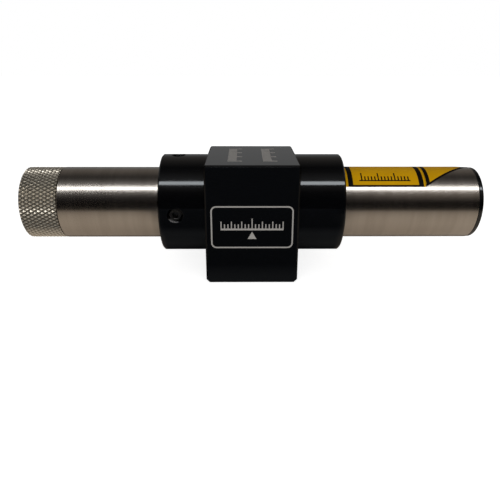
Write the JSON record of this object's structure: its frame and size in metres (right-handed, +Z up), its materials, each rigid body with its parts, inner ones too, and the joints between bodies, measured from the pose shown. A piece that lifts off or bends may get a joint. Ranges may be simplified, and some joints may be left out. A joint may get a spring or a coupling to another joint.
{
  "type": "laser belt alignment tool",
  "caption": "Magnetic block with a steel laser tube through it, a knurled screw cap behind and a line lens in front, for lining up belt pulleys.",
  "frame": {"origin": "middle of the block's magnetic base face, which the tool stands or is held on", "axes": "+X along the tube, the way the laser beam leaves; +Z up, away from the magnetic base; -Y out of the engraved front face"},
  "size_m": [0.139, 0.033, 0.0357],
  "materials": {
    "black_anodised": "satin black anodised, turned and milled",
    "black_steel": "black oxide",
    "magnet_nickel": "bright nickel plate",
    "tube_steel": "fine turned, brushed round the axis",
    "knurled_steel": "cut diamond knurl, bright",
    "seal_rubber": "smooth moulded nitrile",
    "optical_glass": "polished, coated",
    "black_polymer": "plain moulded",
    "turned_brass": "fine turned",
    "diode_gold": "gold flash",
    "spring_steel": "bright drawn wire",
    "sleeve_aluminium": "fine turned",
    "board_laminate": "green solder mask",
    "component_plastic": "moulded",
    "cell_jacket": "plain printed jacket, no marks",
    "sticker_film": "amber printed film with black borders, blank"
  },
  "bodies": {
    "tool_body": {"housing": "black_anodised", "adjusting_screws": "black_steel", "pivot_ring": "seal_rubber", "base_magnets": "magnet_nickel", "laser_tube": "tube_steel", "front_bezel": "black_anodised", "bezel_seal": "seal_rubber", "front_window": "optical_glass", "line_lens_holder": "black_polymer", "line_lens": "optical_glass", "laser_barrel": "turned_brass", "laser_diode": "diode_gold", "focus_spring": "spring_steel", "collimating_lens": "optical_glass", "lens_retainer": "turned_brass", "module_sleeve": "sleeve_aluminium", "contact_disc": "board_laminate", "contact_button": "turned_brass", "driver_board": "board_laminate", "driver_parts": "component_plastic", "front_cell": "cell_jacket", "rear_cell": "cell_jacket", "cell_liner": "black_polymer", "sticker_panel": "sticker_film", "sticker_tip": "sticker_film"},
    "contact_carriage": {"battery_spring": "spring_steel", "contact_cup": "turned_brass", "thrust_washer": "black_polymer"},
    "screw_cap": {"end_cap": "knurled_steel", "cap_seal": "seal_rubber"}
  },
  "joints": [
    {"name": "cap_advance", "type": "slide", "parent": "tool_body", "child": "contact_carriage", "axis": [-1, 0, 0], "range_m": [0, 0.006], "deforming": ["battery_spring"]},
    {"name": "cap_turn", "type": "hinge", "parent": "contact_carriage", "child": "screw_cap", "pos_m": [-0.0604, 0, 0.0207], "axis": [-1, 0, 0], "range_deg": [0, 2160]}
  ],
  "couplings": [
    {"joint": "cap_advance", "follows": "cap_turn", "m_per_rad": 0.00015915}
  ]
}
